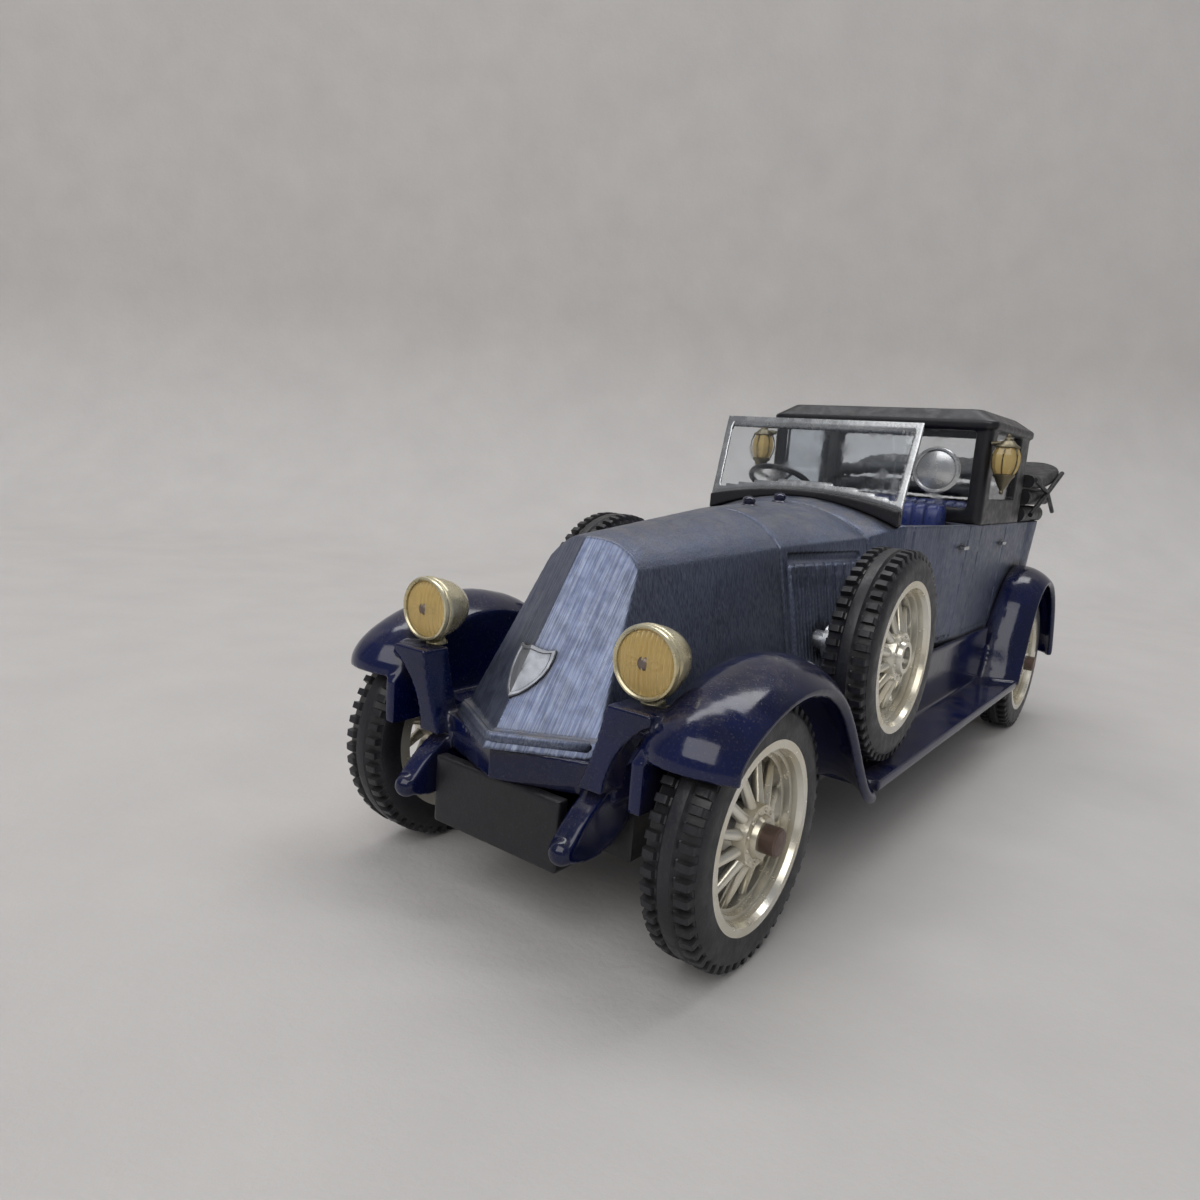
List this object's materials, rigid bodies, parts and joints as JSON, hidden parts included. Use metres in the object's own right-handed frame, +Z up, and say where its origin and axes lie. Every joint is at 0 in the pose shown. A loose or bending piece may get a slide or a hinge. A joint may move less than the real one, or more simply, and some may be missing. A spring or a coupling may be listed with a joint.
{
  "type": "diecast collector car",
  "caption": "Scale model of a 1920s landaulet with sloping bonnet, side-mounted spare wheels, half roof, folded hood and free-turning axles.",
  "frame": {"origin": "middle of the footprint, on the ground under the tyres", "axes": "nose towards -Y, the car's left side towards +X, +Z up"},
  "size_m": [0.04, 0.1202, 0.0467],
  "materials": {
    "body_paint": "metallic grey blue, dusty",
    "fender_paint": "gloss navy",
    "black_plastic": "satin black",
    "hood_plastic": "satin black, moulded folds",
    "seat_plastic": "navy, ribbed",
    "dark_trim": "dark blue",
    "clear_plastic": "clear glazing",
    "plated_trim": "dulled plating",
    "plated_gold": "yellowed plating",
    "plated_rim": "vacuum plated, yellowed",
    "amber_lens": "amber, fluted",
    "rivet_metal": "dull",
    "axle_steel": "dull steel, rusted ends",
    "tyre": "dark rubber"
  },
  "bodies": {
    "body": {"body_shell": "body_paint", "fender_chassis": "fender_paint", "base_plate": "black_plastic", "base_rivets": "rivet_metal", "roof": "black_plastic", "folded_hood": "hood_plastic", "nose_shield": "plated_trim", "front_seat": "seat_plastic", "rear_seat": "seat_plastic", "cabin_floor": "black_plastic", "dashboard": "black_plastic", "steering_column": "dark_trim", "steering_wheel": "dark_trim", "division_glass": "clear_plastic", "side_windows": "clear_plastic", "windscreen_frame": "plated_trim", "windscreen_glass": "clear_plastic", "windscreen_gasket": "black_plastic", "radiator_cap": "plated_trim", "filler_cap": "plated_trim", "door_handles": "plated_trim", "spotlight_shell": "plated_trim", "spotlight_lens": "clear_plastic", "headlamp_shell_left": "plated_gold", "headlamp_lens_left": "amber_lens", "coach_lamp_left": "plated_gold", "coach_lamp_lens_left": "amber_lens", "spare_rim_left": "plated_rim", "spare_tyre_left": "tyre", "spare_stud_left": "rivet_metal", "headlamp_shell_right": "plated_gold", "headlamp_lens_right": "amber_lens", "coach_lamp_right": "plated_gold", "coach_lamp_lens_right": "amber_lens", "spare_rim_right": "plated_rim", "spare_tyre_right": "tyre", "spare_stud_right": "rivet_metal"},
    "front_axle_set": {"front_axle": "axle_steel", "front_rim_left": "plated_rim", "front_tyre_left": "tyre", "front_rim_right": "plated_rim", "front_tyre_right": "tyre"},
    "rear_axle_set": {"rear_axle": "axle_steel", "rear_rim_left": "plated_rim", "rear_tyre_left": "tyre", "rear_rim_right": "plated_rim", "rear_tyre_right": "tyre"}
  },
  "joints": [
    {"name": "front_axle_spin", "type": "hinge", "parent": "body", "child": "front_axle_set", "pos_m": [0, -0.04775, 0.0104], "axis": [1, 0, 0], "continuous": true},
    {"name": "rear_axle_spin", "type": "hinge", "parent": "body", "child": "rear_axle_set", "pos_m": [0, 0.04105, 0.0104], "axis": [1, 0, 0], "continuous": true}
  ]
}
